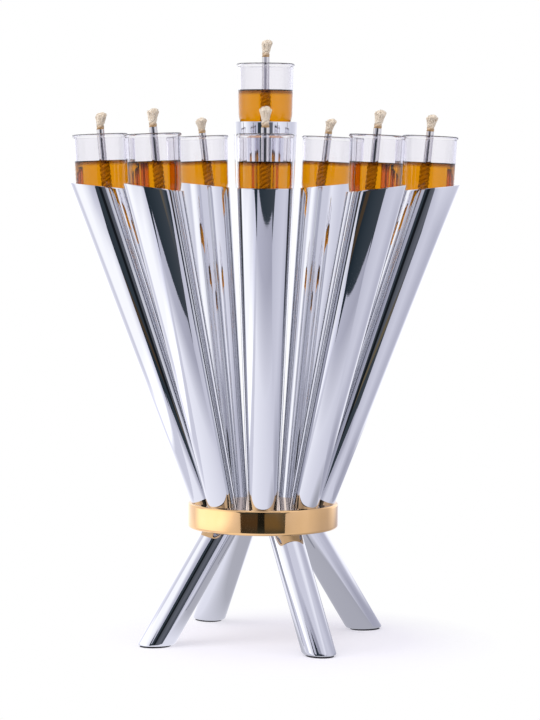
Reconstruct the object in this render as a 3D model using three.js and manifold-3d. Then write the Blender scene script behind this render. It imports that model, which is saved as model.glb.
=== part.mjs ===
import * as THREE from 'three';
import { mergeVertices } from 'three/addons/utils/BufferGeometryUtils.js';
import Module from 'manifold-3d';

// Oil-lamp hanukkiah: tapering tubes with glass oil cups on a thick disc with four splayed legs.
// Millimetres, +Z up, origin on the floor under the middle of the disc, front towards -Y.

const wasm = await Module();
wasm.setup();

// Disc
const hubDiameter = 81.4;
const hubThickness = 13.5;
const hubUndersideHeight = 60.5;
const hubEdgeRadius = 1.3;

// Tubes
const armFootCircleRadius = 31;
const armRimCircleRadius = 88.6;
const armRimHeight = 244.3;
const armRimDiameter = 29.5;
const armFootDiameter = 15.4;
const shamashRimHeight = 278.9;
const shamashRimDiameter = 34.1;
const shamashFootDiameter = 17;
const tubeWall = 0.5;
const tubePlugHeight = 10;
const seatThickness = 1.5;
const seatVentRadius = 2.5;

// Glass cups
const cupHeight = 34.6;
const cupLipRadius = 14.85;
const cupLipHeight = 1.7;
const cupLipRound = 0.5;
const cupBodyTopRadius = 14.2;
const cupBodyFootRadius = 13.8;
const cupHeelWidth = 4.6;
const cupHeelHeight = 9;
const cupWall = 1.15;
const cupFloor = 2.2;
const shamashCupWidthShare = 1.05;
const armCupDepth = 7;
const shamashCupDepth = 3.4;
const armCupInset = 0.6;

// Wick tubes and cords
const wickTubeRadius = 2.1;
const wickTubeWall = 0.4;
const wickTubeRise = 3.5;
const wickInset = 1.2;
const oilDepthBelowLip = 14.8;
const cordRadius = 2.1;
const cordThreadedRadius = 1.35;
const cordHeadRadius = 3.5;
const cordHeadHeight = 10.9;
const cordNeckShare = 0.62;
const cordCrownShare = 0.9;

// Legs and pads
const legDiameter = 17.4;
const legTopCircleRadius = 25;
const legFootCircleRadius = 64.5;
const legTurn = 28;
const padThickness = 0.9;
const padInset = 1.6;

// Screws and studs
const screwRadius = 2;
const screwHeadRadius = 3.8;
const screwHeadHeight = 2.2;
const screwHeadLand = 0.5;
const screwSocketRadius = 1.45;
const screwSocketDepth = 1.6;
const screwGrip = 8;
const screwRecess = 0.4;
const armScrewOutset = 3.5;
const studRadius = 3;
const studHubDepth = 7;
const studLegDepth = 12;

// Clearances between separate pieces, and the overrun of every cutting body
const restGap = 0.3;
const fastenerGap = 0.3;
const cutOverrun = 2;
const weldDistance = 0.0001;

// Facets round each kind of piece
const hubFacets = 64;
const tubeFacets = 28;
const cupFacets = 20;
const wickFacets = 8;
const legFacets = 28;
const screwFacets = 12;
const hexFacets = 6;
const edgeSteps = 2;
const heelSteps = 3;

// Arms in order from the front, turning to the right. Azimuths and leans are in degrees.
const arms = [
  {
    rimAzimuth: 0, footAzimuth: 0, rimTilt: 0,
    cupLean: 0, wickLean: 0, wickRiseShare: 0.89, headShare: 1,
  },
  {
    rimAzimuth: 40, footAzimuth: 44, rimTilt: 7,
    cupLean: 2.4, wickLean: 5.2, wickRiseShare: 0.97, headShare: 0.87,
  },
  {
    rimAzimuth: 80, footAzimuth: 77.5, rimTilt: 5.5,
    cupLean: 2.4, wickLean: 5.2, wickRiseShare: 0.71, headShare: 0.81,
  },
  {
    rimAzimuth: 157, footAzimuth: 148, rimTilt: 5.5,
    cupLean: 2.4, wickLean: 6.5, wickRiseShare: 0.49, headShare: 0.79,
  },
  {
    rimAzimuth: 180, footAzimuth: 180, rimTilt: 0,
    cupLean: 0, wickLean: 0, wickRiseShare: 0.49, headShare: 0.79,
  },
  {
    rimAzimuth: -157, footAzimuth: -148, rimTilt: 5.5,
    cupLean: 2.4, wickLean: 6.5, wickRiseShare: 0.49, headShare: 0.79,
  },
  {
    rimAzimuth: -80, footAzimuth: -77.5, rimTilt: 5.5,
    cupLean: 2.4, wickLean: 5.2, wickRiseShare: 0.71, headShare: 0.81,
  },
  {
    rimAzimuth: -40, footAzimuth: -44, rimTilt: 7,
    cupLean: 2.4, wickLean: 5.2, wickRiseShare: 0.97, headShare: 0.87,
  },
];
const shamashLight = { wickRiseShare: 1, headShare: 0.83 };

// Sizes that follow from the ones above
const hubRadius = hubDiameter / 2;
const hubTopHeight = hubUndersideHeight + hubThickness;
const legRadius = legDiameter / 2;
const blockSize = (armRimCircleRadius + shamashRimHeight) * 2;
const oilHeight = cupHeight - oilDepthBelowLip;

// Materials
const silver = new THREE.MeshStandardMaterial({ color: 0xdcdce2, roughness: 0.08, metalness: 1 });
const gold = new THREE.MeshStandardMaterial({ color: 0xe6c07c, roughness: 0.12, metalness: 1 });
const glass = new THREE.MeshStandardMaterial({ color: 0xf2f4f8, roughness: 0.03, metalness: 0 });
const cotton = new THREE.MeshStandardMaterial({ color: 0xd9c3a5, roughness: 0.95, metalness: 0 });
const rubber = new THREE.MeshStandardMaterial({ color: 0x17171a, roughness: 0.8, metalness: 0 });
const steel = new THREE.MeshStandardMaterial({ color: 0xb4b4ba, roughness: 0.3, metalness: 1 });

function radians(degrees) {
  return THREE.MathUtils.degToRad(degrees);
}

// A point at an azimuth from the front, turning to the right.
function polar(radius, azimuth, height) {
  const turn = radians(azimuth);
  return new THREE.Vector3(radius * Math.sin(turn), -radius * Math.cos(turn), height);
}

// A closed solid for the boolean steps: shared corners joined, collapsed triangles dropped.
function solidOf(geometry) {
  const plain = geometry.clone();
  plain.deleteAttribute('normal');
  plain.deleteAttribute('uv');
  const merged = mergeVertices(plain, weldDistance);
  const source = merged.index.array;
  const corners = [];
  for (let i = 0; i < source.length; i += 3) {
    const a = source[i];
    const b = source[i + 1];
    const c = source[i + 2];
    if (a !== b && b !== c && c !== a) {
      corners.push(a, b, c);
    }
  }
  const mesh = new wasm.Mesh({
    numProp: 3,
    vertProperties: new Float32Array(merged.attributes.position.array),
    triVerts: new Uint32Array(corners),
  });
  return new wasm.Manifold(mesh);
}

function geometryOf(solid) {
  const mesh = solid.getMesh();
  const geometry = new THREE.BufferGeometry();
  geometry.setAttribute('position', new THREE.BufferAttribute(new Float32Array(mesh.vertProperties), 3));
  geometry.setIndex(new THREE.BufferAttribute(new Uint32Array(mesh.triVerts), 1));
  geometry.computeVertexNormals();
  return geometry;
}

// A turned solid about +Z. The profile lists radius and height from the foot of the axis, up the outside.
function turned(profile, facets) {
  const points = profile.map(([radius, height]) => new THREE.Vector2(radius, height));
  const geometry = new THREE.LatheGeometry(points, facets);
  geometry.rotateX(Math.PI / 2);
  return geometry;
}

// Puts a body that stands on the origin along +Z at a foot point and along a direction.
function standing(geometry, foot, direction) {
  const turn = new THREE.Quaternion().setFromUnitVectors(new THREE.Vector3(0, 0, 1), direction);
  const place = new THREE.Matrix4().compose(foot, turn, new THREE.Vector3(1, 1, 1));
  return geometry.clone().applyMatrix4(place);
}

// A large block whose underside passes through a point, square to a direction.
function blockAbove(point, direction) {
  const block = new THREE.BoxGeometry(blockSize, blockSize, blockSize);
  block.translate(0, 0, blockSize / 2);
  return solidOf(standing(block, point, direction));
}

function blockBelow(point, direction) {
  return blockAbove(point, direction.clone().negate());
}

function cylinder(radius, low, high, facets) {
  return turned([[0, low], [radius, low], [radius, high], [0, high]], facets);
}

const up = new THREE.Vector3(0, 0, 1);
const group = new THREE.Group();
group.name = 'oil_hanukkiah';

function addPiece(name, geometry, material) {
  const mesh = new THREE.Mesh(geometry, material);
  mesh.name = name;
  group.add(mesh);
}

// Lights: one record per tube with the lines of its tube, cup and wick
function sideOf(azimuth) {
  const across = Math.sin(radians(azimuth));
  if (Math.abs(across) < weldDistance) {
    return 0;
  }
  return Math.sign(across);
}

function leaning(side, angle) {
  return new THREE.Vector3(side * Math.sin(radians(angle)), 0, Math.cos(radians(angle)));
}

const lights = arms.map((arm, index) => {
  const side = sideOf(arm.rimAzimuth);
  const foot = polar(armFootCircleRadius, arm.footAzimuth, hubTopHeight);
  const rim = polar(armRimCircleRadius, arm.rimAzimuth, armRimHeight);
  const axis = rim.clone().sub(foot).normalize();
  const inward = new THREE.Vector3(-axis.x, -axis.y, 0).normalize();
  const cupAxis = leaning(side, arm.cupLean);
  const cupFoot = rim.clone().addScaledVector(inward, armCupInset).addScaledVector(cupAxis, -armCupDepth);
  const wickAxis = leaning(side, arm.wickLean);
  const wickMiddle = cupFoot.clone().addScaledVector(cupAxis, oilHeight);
  wickMiddle.x -= side * wickInset;
  return {
    tubeName: `arm_tube_${index + 1}`,
    cupName: `arm_cup_${index + 1}`,
    wickTubeName: `arm_wick_tube_${index + 1}`,
    cordName: `arm_cord_${index + 1}`,
    foot,
    rim,
    axis,
    rimUp: leaning(-side, arm.rimTilt),
    footDiameter: armFootDiameter,
    rimDiameter: armRimDiameter,
    screwFoot: polar(armFootCircleRadius + armScrewOutset, arm.footAzimuth, hubTopHeight),
    cupAxis,
    cupFoot,
    cupWidthShare: 1,
    wickAxis,
    wickFoot: wickMiddle.addScaledVector(wickAxis, -oilHeight),
    wickTop: cupHeight + wickTubeRise * arm.wickRiseShare,
    headHeight: cordHeadHeight * arm.headShare,
  };
});

const shamashCupFoot = new THREE.Vector3(0, 0, shamashRimHeight - shamashCupDepth);
lights.push({
  tubeName: 'shamash_tube',
  cupName: 'shamash_cup',
  wickTubeName: 'shamash_wick_tube',
  cordName: 'shamash_cord',
  foot: new THREE.Vector3(0, 0, hubTopHeight),
  rim: new THREE.Vector3(0, 0, shamashRimHeight),
  axis: up,
  rimUp: up,
  footDiameter: shamashFootDiameter,
  rimDiameter: shamashRimDiameter,
  screwFoot: new THREE.Vector3(0, 0, hubTopHeight),
  cupAxis: up,
  cupFoot: shamashCupFoot,
  cupWidthShare: shamashCupWidthShare,
  wickAxis: up,
  wickFoot: shamashCupFoot,
  wickTop: cupHeight + wickTubeRise * shamashLight.wickRiseShare,
  headHeight: cordHeadHeight * shamashLight.headShare,
});

// Legs: each leg's line runs from the underside of the disc to the floor
const legs = [0, 1, 2, 3].map((quarter) => {
  const azimuth = legTurn + quarter * 90;
  const top = polar(legTopCircleRadius, azimuth, hubUndersideHeight);
  const foot = polar(legFootCircleRadius, azimuth, 0);
  const axis = top.clone().sub(foot).normalize();
  return { number: quarter + 1, top, foot, axis };
});

// Disc with through holes for the tube screws and slanted blind holes for the leg studs
function screwProfile(grow, low, high) {
  const headFoot = low + screwHeadLand;
  const neck = low + screwHeadHeight;
  return [
    [0, low],
    [screwHeadRadius + grow, low],
    [screwHeadRadius + grow, headFoot],
    [screwRadius + grow, neck],
    [screwRadius + grow, high],
    [0, high],
  ];
}

function screwHole(point) {
  const bottom = hubUndersideHeight + screwRecess;
  const hole = turned(screwProfile(fastenerGap, bottom, hubTopHeight + cutOverrun), screwFacets);
  const mouth = cylinder(
    screwHeadRadius + fastenerGap,
    hubUndersideHeight - cutOverrun,
    bottom + screwHeadLand,
    screwFacets,
  );
  hole.translate(point.x, point.y, 0);
  mouth.translate(point.x, point.y, 0);
  return solidOf(hole).add(solidOf(mouth));
}

function hubSolid() {
  const profile = [[0, hubUndersideHeight], [hubRadius - hubEdgeRadius, hubUndersideHeight]];
  for (let step = 1; step <= edgeSteps; step += 1) {
    const turn = (step / edgeSteps) * (Math.PI / 2);
    profile.push([
      hubRadius - hubEdgeRadius + hubEdgeRadius * Math.sin(turn),
      hubUndersideHeight + hubEdgeRadius - hubEdgeRadius * Math.cos(turn),
    ]);
  }
  for (let step = 0; step <= edgeSteps; step += 1) {
    const turn = (step / edgeSteps) * (Math.PI / 2);
    profile.push([
      hubRadius - hubEdgeRadius + hubEdgeRadius * Math.cos(turn),
      hubTopHeight - hubEdgeRadius + hubEdgeRadius * Math.sin(turn),
    ]);
  }
  profile.push([0, hubTopHeight]);
  let hub = solidOf(turned(profile, hubFacets));
  for (const light of lights) {
    hub = hub.subtract(screwHole(light.screwFoot));
  }
  for (const leg of legs) {
    const bore = cylinder(studRadius + fastenerGap, -cutOverrun, studHubDepth + fastenerGap, screwFacets);
    hub = hub.subtract(solidOf(standing(bore, leg.top, leg.axis)));
  }
  return hub;
}

addPiece('hub_disc', geometryOf(hubSolid()), gold);

// Tubes: a thin tapering wall, a solid plug at the foot and a vented seat plate for the cup
function tubeSolid(light) {
  const length = light.rim.distanceTo(light.foot);
  const footRadius = light.footDiameter / 2;
  const rimRadius = light.rimDiameter / 2;
  const widening = (rimRadius - footRadius) / length;
  const reach = rimRadius;
  const low = -reach;
  const high = length + reach;
  function cone(inset) {
    const lowRadius = footRadius + widening * low - inset;
    const highRadius = footRadius + widening * high - inset;
    const body = turned([[0, low], [lowRadius, low], [highRadius, high], [0, high]], tubeFacets);
    return solidOf(standing(body, light.foot, light.axis));
  }
  const plugTop = new THREE.Vector3(light.foot.x, light.foot.y, hubTopHeight + tubePlugHeight);
  const bore = cone(tubeWall).subtract(blockBelow(plugTop, up));
  const seatTop = light.cupFoot.clone().addScaledVector(light.cupAxis, -restGap);
  const seatFoot = seatTop.clone().addScaledVector(light.cupAxis, -seatThickness);
  const seat = cone(tubeWall / 2)
    .subtract(blockAbove(seatTop, light.cupAxis))
    .subtract(blockBelow(seatFoot, light.cupAxis));
  const vent = cylinder(seatVentRadius, -cutOverrun, seatThickness + cutOverrun, screwFacets);
  const screwBore = cylinder(
    screwRadius + fastenerGap,
    -cutOverrun,
    screwGrip + fastenerGap,
    screwFacets,
  );
  return cone(0)
    .subtract(bore)
    .add(seat)
    .subtract(solidOf(standing(vent, seatFoot, light.cupAxis)))
    .subtract(blockBelow(light.foot, up))
    .subtract(blockAbove(light.rim, light.rimUp))
    .subtract(solidOf(standing(screwBore, light.screwFoot, up)));
}

// Cups: a turned glass body with a round heel and a rolled lip
function cupProfile(widthShare) {
  const heelStart = cupBodyFootRadius - cupHeelWidth;
  const innerStart = heelStart - cupWall / 2;
  const innerWidth = cupBodyFootRadius - cupWall - innerStart;
  const innerHeight = cupHeelHeight - cupFloor;
  const lipFoot = cupHeight - cupLipHeight;
  const outline = [[0, 0], [heelStart, 0]];
  for (let step = 1; step <= heelSteps; step += 1) {
    const turn = (step / heelSteps) * (Math.PI / 2);
    outline.push([heelStart + cupHeelWidth * Math.sin(turn), cupHeelHeight * (1 - Math.cos(turn))]);
  }
  outline.push([cupBodyTopRadius, lipFoot]);
  outline.push([cupLipRadius, lipFoot + cupLipRound]);
  outline.push([cupLipRadius, cupHeight - cupLipRound]);
  outline.push([cupLipRadius - cupLipRound, cupHeight]);
  outline.push([cupBodyTopRadius - cupWall, cupHeight]);
  for (let step = heelSteps; step >= 1; step -= 1) {
    const turn = (step / heelSteps) * (Math.PI / 2);
    outline.push([innerStart + innerWidth * Math.sin(turn), cupFloor + innerHeight * (1 - Math.cos(turn))]);
  }
  outline.push([innerStart, cupFloor]);
  outline.push([0, cupFloor]);
  return outline.map(([radius, height]) => [radius * widthShare, height]);
}

// Wick tube and cord: the cord fills the cup below the tube, is thin inside it and frays out above it
function wickTubeProfile(light) {
  const top = light.wickTop;
  const inner = wickTubeRadius - wickTubeWall;
  return [
    [inner, oilHeight],
    [wickTubeRadius, oilHeight],
    [wickTubeRadius, top],
    [inner, top],
    [inner, oilHeight],
  ];
}

function cordProfile(light) {
  const tubeTop = light.wickTop;
  const crown = tubeTop + light.headHeight;
  const neck = tubeTop + light.headHeight * cordNeckShare;
  const shoulder = tubeTop + light.headHeight * cordCrownShare;
  return [
    [0, cupFloor + restGap],
    [cordRadius, cupFloor + restGap],
    [cordRadius, oilHeight - restGap],
    [cordThreadedRadius, oilHeight - restGap],
    [cordThreadedRadius, tubeTop + restGap],
    [cordRadius, tubeTop + restGap],
    [cordRadius, neck],
    [cordHeadRadius, shoulder],
    [cordHeadRadius * cordNeckShare, crown],
    [0, crown],
  ];
}

for (const light of lights) {
  addPiece(light.tubeName, geometryOf(tubeSolid(light)), silver);
  const cup = turned(cupProfile(light.cupWidthShare), cupFacets);
  addPiece(light.cupName, standing(cup, light.cupFoot, light.cupAxis), glass);
  const wickTube = turned(wickTubeProfile(light), wickFacets);
  addPiece(light.wickTubeName, standing(wickTube, light.wickFoot, light.wickAxis), silver);
  const cord = turned(cordProfile(light), wickFacets);
  addPiece(light.cordName, standing(cord, light.wickFoot, light.wickAxis), cotton);
}

// Legs: round bars cut level at both ends, with a bore for the stud, each on a thin pad
function legBar(leg, radius) {
  const reach = legRadius * 2;
  const length = leg.top.distanceTo(leg.foot);
  return solidOf(standing(cylinder(radius, -reach, length + reach, legFacets), leg.foot, leg.axis));
}

const padTop = new THREE.Vector3(0, 0, padThickness);
const floorPoint = new THREE.Vector3(0, 0, 0);
const hubUnderside = new THREE.Vector3(0, 0, hubUndersideHeight);
for (const leg of legs) {
  const bore = cylinder(
    studRadius + fastenerGap,
    -studLegDepth - fastenerGap,
    cutOverrun * 2,
    screwFacets,
  );
  const bar = legBar(leg, legRadius)
    .subtract(blockAbove(hubUnderside, up))
    .subtract(blockBelow(padTop, up))
    .subtract(solidOf(standing(bore, leg.top, leg.axis)));
  const pad = legBar(leg, legRadius - padInset)
    .subtract(blockAbove(padTop, up))
    .subtract(blockBelow(floorPoint, up));
  addPiece(`leg_${leg.number}`, geometryOf(bar), silver);
  addPiece(`foot_pad_${leg.number}`, geometryOf(pad), rubber);
}

// Countersunk screws from under the disc into the tube plugs
function screwSolid(point) {
  const bottom = hubUndersideHeight + screwRecess;
  const body = turned(screwProfile(0, bottom, hubTopHeight + screwGrip), screwFacets);
  const socket = cylinder(screwSocketRadius, bottom - cutOverrun, bottom + screwSocketDepth, hexFacets);
  body.translate(point.x, point.y, 0);
  socket.translate(point.x, point.y, 0);
  return solidOf(body).subtract(solidOf(socket));
}

lights.forEach((light, index) => {
  addPiece(`tube_screw_${index + 1}`, geometryOf(screwSolid(light.screwFoot)), steel);
});

// Studs that join the legs to the disc
for (const leg of legs) {
  const stud = cylinder(studRadius, -studLegDepth, studHubDepth, screwFacets);
  addPiece(`leg_stud_${leg.number}`, standing(stud, leg.top, leg.axis), steel);
}

export default group;
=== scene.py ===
# %% [markdown]
# # An oil-lamp hanukkiah in polished metal, glass and oil
# The solids of this object come from a CAD model that is loaded as a fixed frame. This script dresses them:
# it builds smooth, finely divided surfaces in the same places and gives each one its material. The frame goes
# first, because every piece below is placed from it and moves with one of its bodies.

# %% Load the frame
import math
import random

import bmesh
import bpy
from mathutils import Matrix, Vector, noise


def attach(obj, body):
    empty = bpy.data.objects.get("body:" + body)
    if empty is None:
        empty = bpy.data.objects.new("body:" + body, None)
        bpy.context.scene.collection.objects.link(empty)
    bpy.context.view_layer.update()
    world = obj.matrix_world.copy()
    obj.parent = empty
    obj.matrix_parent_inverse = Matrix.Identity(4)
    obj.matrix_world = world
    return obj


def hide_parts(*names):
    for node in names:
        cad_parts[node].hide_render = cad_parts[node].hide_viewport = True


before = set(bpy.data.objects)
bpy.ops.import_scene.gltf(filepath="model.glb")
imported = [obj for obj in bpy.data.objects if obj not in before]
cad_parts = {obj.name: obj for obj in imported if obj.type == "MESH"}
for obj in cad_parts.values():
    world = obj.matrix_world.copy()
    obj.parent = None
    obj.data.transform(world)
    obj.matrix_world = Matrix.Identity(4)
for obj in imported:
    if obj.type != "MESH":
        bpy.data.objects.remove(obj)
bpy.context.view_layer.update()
scene = bpy.context.scene

# %% [markdown]
# ## Sizes
# The same named sizes as the CAD model, turned to metres once. A tube, its cup and its wick each have a foot
# point and a direction, so a shape can be turned upright on the origin and then set in place by one matrix.

# %% Sizes of the stand, in millimetres
MM = 0.001
HUB_RADIUS = 40.7
HUB_UNDERSIDE = 60.5
HUB_TOP = 74.0
HUB_EDGE = 1.3
HUB_SUPPORT = 0.3
ARM_FOOT_CIRCLE = 31.0
ARM_RIM_CIRCLE = 88.6
ARM_RIM_HEIGHT = 244.3
ARM_RIM_RADIUS = 14.75
ARM_FOOT_RADIUS = 7.7
SHAMASH_RIM_HEIGHT = 278.9
SHAMASH_RIM_RADIUS = 17.05
SHAMASH_FOOT_RADIUS = 8.5
TUBE_WALL = 0.5
TUBE_PLUG = 10.0
RIM_BEVEL = 0.1
RIM_SUPPORT = 0.6
SEAT_DROP = 0.3
LEG_RADIUS = 8.7
LEG_TOP_CIRCLE = 25.0
LEG_FOOT_CIRCLE = 64.5
LEG_TURN = 28.0
LEG_SUPPORT = 1.6
PAD_THICKNESS = 0.9
SCREW_OUTSET = 3.5
SCREW_MOUTH_RADIUS = 4.1

# %% Sizes of the lights, in millimetres
CUP_HEIGHT = 34.6
CUP_LIP_RADIUS = 14.85
CUP_LIP_HEIGHT = 1.7
CUP_TOP_RADIUS = 14.2
CUP_FOOT_RADIUS = 13.8
CUP_HEEL_WIDTH = 4.6
CUP_HEEL_HEIGHT = 9.0
CUP_WALL = 1.15
CUP_FLOOR = 2.2
ARM_CUP_DEPTH = 7.0
SHAMASH_CUP_DEPTH = 3.4
CUP_INSET = 0.6
SHAMASH_CUP_SHARE = 1.05
OIL_HEIGHT = 19.8
WICK_INSET = 1.2
WICK_TUBE_RADIUS = 2.1
WICK_TUBE_WALL = 0.4
WICK_RISE = 3.5
HEAD_HEIGHT = 10.9

# %% Where each light stands
UP = Vector((0, 0, 1))


def polar(radius, azimuth, height):
    """A point at an azimuth from the front, turning to the right."""
    turn = math.radians(azimuth)
    return Vector((radius * math.sin(turn), -radius * math.cos(turn), height))


def leaning(side, angle):
    """A direction that leans from the upright to one side."""
    turn = math.radians(angle)
    return Vector((side * math.sin(turn), 0, math.cos(turn)))


ARM_ROWS = [
    (0, 0, 0, 0, 0, 0.89, 1.0),
    (40, 44, 7, 2.4, 5.2, 0.97, 0.87),
    (80, 77.5, 5.5, 2.4, 5.2, 0.71, 0.81),
    (157, 148, 5.5, 2.4, 6.5, 0.49, 0.79),
    (180, 180, 0, 0, 0, 0.49, 0.79),
    (-157, -148, 5.5, 2.4, 6.5, 0.49, 0.79),
    (-80, -77.5, 5.5, 2.4, 5.2, 0.71, 0.81),
    (-40, -44, 7, 2.4, 5.2, 0.97, 0.87),
]


def arm_light(index, row):
    """One arm: its tube, cup and wick lines, worked out as the CAD model does."""
    rim_azimuth, foot_azimuth, rim_tilt, cup_lean, wick_lean, rise, head = row
    across = math.sin(math.radians(rim_azimuth))
    side = 0 if abs(across) < 1e-4 else math.copysign(1, across)
    foot = polar(ARM_FOOT_CIRCLE, foot_azimuth, HUB_TOP)
    rim = polar(ARM_RIM_CIRCLE, rim_azimuth, ARM_RIM_HEIGHT)
    axis = (rim - foot).normalized()
    inward = Vector((-axis.x, -axis.y, 0)).normalized()
    cup_axis = leaning(side, cup_lean)
    cup_foot = rim + inward * CUP_INSET - cup_axis * ARM_CUP_DEPTH
    wick_axis = leaning(side, wick_lean)
    wick_middle = cup_foot + cup_axis * OIL_HEIGHT - Vector((side * WICK_INSET, 0, 0))
    return {
        "label": f"arm_{index}",
        "tube": f"arm_tube_{index}",
        "cup": f"arm_cup_{index}",
        "wick_tube": f"arm_wick_tube_{index}",
        "cord": f"arm_cord_{index}",
        "foot": foot,
        "rim": rim,
        "axis": axis,
        "rim_up": leaning(-side, rim_tilt),
        "foot_radius": ARM_FOOT_RADIUS,
        "rim_radius": ARM_RIM_RADIUS,
        "screw": polar(ARM_FOOT_CIRCLE + SCREW_OUTSET, foot_azimuth, 0),
        "cup_axis": cup_axis,
        "cup_foot": cup_foot,
        "cup_share": 1.0,
        "wick_axis": wick_axis,
        "wick_foot": wick_middle - wick_axis * OIL_HEIGHT,
        "wick_top": CUP_HEIGHT + WICK_RISE * rise,
        "head": HEAD_HEIGHT * head,
    }


lights = [arm_light(index + 1, row) for index, row in enumerate(ARM_ROWS)]
shamash_cup_foot = Vector((0, 0, SHAMASH_RIM_HEIGHT - SHAMASH_CUP_DEPTH))
lights.append({
    "label": "shamash",
    "tube": "shamash_tube",
    "cup": "shamash_cup",
    "wick_tube": "shamash_wick_tube",
    "cord": "shamash_cord",
    "foot": Vector((0, 0, HUB_TOP)),
    "rim": Vector((0, 0, SHAMASH_RIM_HEIGHT)),
    "axis": UP,
    "rim_up": UP,
    "foot_radius": SHAMASH_FOOT_RADIUS,
    "rim_radius": SHAMASH_RIM_RADIUS,
    "screw": Vector((0, 0, 0)),
    "cup_axis": UP,
    "cup_foot": shamash_cup_foot,
    "cup_share": SHAMASH_CUP_SHARE,
    "wick_axis": UP,
    "wick_foot": shamash_cup_foot,
    "wick_top": CUP_HEIGHT + WICK_RISE,
    "head": HEAD_HEIGHT * 0.83,
})
print("lights:", len(lights))

# %% [markdown]
# ## Camera
# The photograph looks slightly down from the front with a long lens, so the camera stands about one and a half
# metres away. A camera must be an object of the scene and be named as the scene's camera.

# %% Camera
CAMERA_DISTANCE = 1.518
CAMERA_HEIGHT = 0.2596
CAMERA_PITCH = 4.096
CAMERA_ROLL = 0.355
CAMERA_LENS = 141.05

camera_data = bpy.data.cameras.new("product_camera")
camera_data.lens = CAMERA_LENS
camera_data.sensor_width = 36.0
camera_data.sensor_fit = "AUTO"
camera_data.clip_start = 0.05
camera_data.clip_end = 30.0
camera = bpy.data.objects.new("product_camera", camera_data)
scene.collection.objects.link(camera)
camera.matrix_world = (
    Matrix.Translation((-0.0004, -CAMERA_DISTANCE, CAMERA_HEIGHT))
    @ Matrix.Rotation(math.radians(90 - CAMERA_PITCH), 4, "X")
    @ Matrix.Rotation(math.radians(CAMERA_ROLL), 4, "Z")
)
camera_data.shift_x = 0.0096
scene.camera = camera

# %% [markdown]
# ## Colours and material nodes
# Colours are picked on a screen as sRGB hex values, but the shader works in linear light, so one function turns
# them. A second small function adds a node with its settings and links: a material then reads as a short list.

# %% Colour and node helpers


def linear(hex_colour):
    """An sRGB hex colour as linear RGBA."""
    values = []
    for start in (0, 2, 4):
        value = int(hex_colour[start:start + 2], 16) / 255
        values.append(value / 12.92 if value <= 0.04045 else ((value + 0.055) / 1.055) ** 2.4)
    return (*values, 1.0)


def add_node(tree, kind, settings=None, inputs=None, links=None):
    """Adds a node, sets its properties and sockets, and links other nodes' sockets into it."""
    node = tree.nodes.new(kind)
    for key, value in (settings or {}).items():
        setattr(node, key, value)
    for key, value in (inputs or {}).items():
        node.inputs[key].default_value = value
    for key, source in (links or {}).items():
        tree.links.new(source, node.inputs[key])
    return node


def new_material(name):
    """An empty material with its output node."""
    material = bpy.data.materials.new(name)
    material.use_nodes = True
    material.node_tree.nodes.clear()
    output = add_node(material.node_tree, "ShaderNodeOutputMaterial")
    return material, material.node_tree, output


def colour_stops(ramp, stops):
    """Sets a Color Ramp's stops from (place, linear colour) pairs."""
    elements = ramp.color_ramp.elements
    while len(elements) > 1:
        elements.remove(elements[-1])
    elements[0].position, elements[0].color = stops[0]
    for place, colour in stops[1:]:
        elements.new(place).color = colour


def grey(value):
    """A neutral linear grey."""
    return (value, value, value, 1.0)


# %% [markdown]
# ## Mirror-polished chrome plate
# The tubes and legs are polished until they mirror the room. Chromium is a cool, slightly blue metal. It keeps
# a trace of the polishing wheel: very fine lines round the tube and soft cloudy patches where the shine is a
# little weaker. Both are too fine to see as dents, so they only move the roughness and a very faint bump.

# %% Chrome
WHEEL_LINE_MM = 0.9
CLOUD_MM = 26.0


def chrome_material(name, tint, roughness_low, roughness_high):
    material, tree, output = new_material(name)
    place = add_node(tree, "ShaderNodeTexCoord")
    clouds = add_node(
        tree, "ShaderNodeTexNoise",
        inputs={"Scale": 1 / (CLOUD_MM * MM), "Detail": 3.0, "Roughness": 0.55},
        links={"Vector": place.outputs["Object"]},
    )
    shine = add_node(
        tree, "ShaderNodeMapRange",
        inputs={"From Min": 0.3, "From Max": 0.7, "To Min": roughness_low, "To Max": roughness_high},
        links={"Value": clouds.outputs["Fac"]},
    )
    stretched = add_node(
        tree, "ShaderNodeMapping",
        inputs={"Scale": (0.08, 0.08, 1.0)},
        links={"Vector": place.outputs["Object"]},
    )
    wheel = add_node(
        tree, "ShaderNodeTexNoise",
        inputs={"Scale": 1 / (WHEEL_LINE_MM * MM), "Detail": 2.0},
        links={"Vector": stretched.outputs["Vector"]},
    )
    bump = add_node(
        tree, "ShaderNodeBump",
        inputs={"Strength": 0.012, "Distance": 0.0002},
        links={"Height": wheel.outputs["Fac"]},
    )
    metal = add_node(
        tree, "ShaderNodeBsdfPrincipled",
        inputs={"Base Color": linear(tint), "Metallic": 1.0},
        links={"Roughness": shine.outputs["Result"], "Normal": bump.outputs["Normal"]},
    )
    tree.links.new(metal.outputs["BSDF"], output.inputs["Surface"])
    return material


tube_chrome = chrome_material("polished_chrome_plate", "CDCED3", 0.015, 0.05)
wick_chrome = chrome_material("polished_wick_metal", "C2C0BF", 0.04, 0.09)
fastener_steel = chrome_material("plain_screw_steel", "9C9CA2", 0.24, 0.36)

# %% [markdown]
# ## Polished gold plating
# The disc is turned brass with a thin bright gold plating. Gold colours its reflections, so a white studio turns
# pale straw and a dark one turns brown. The plating is a touch softer than the chrome.

# %% Gold


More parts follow.
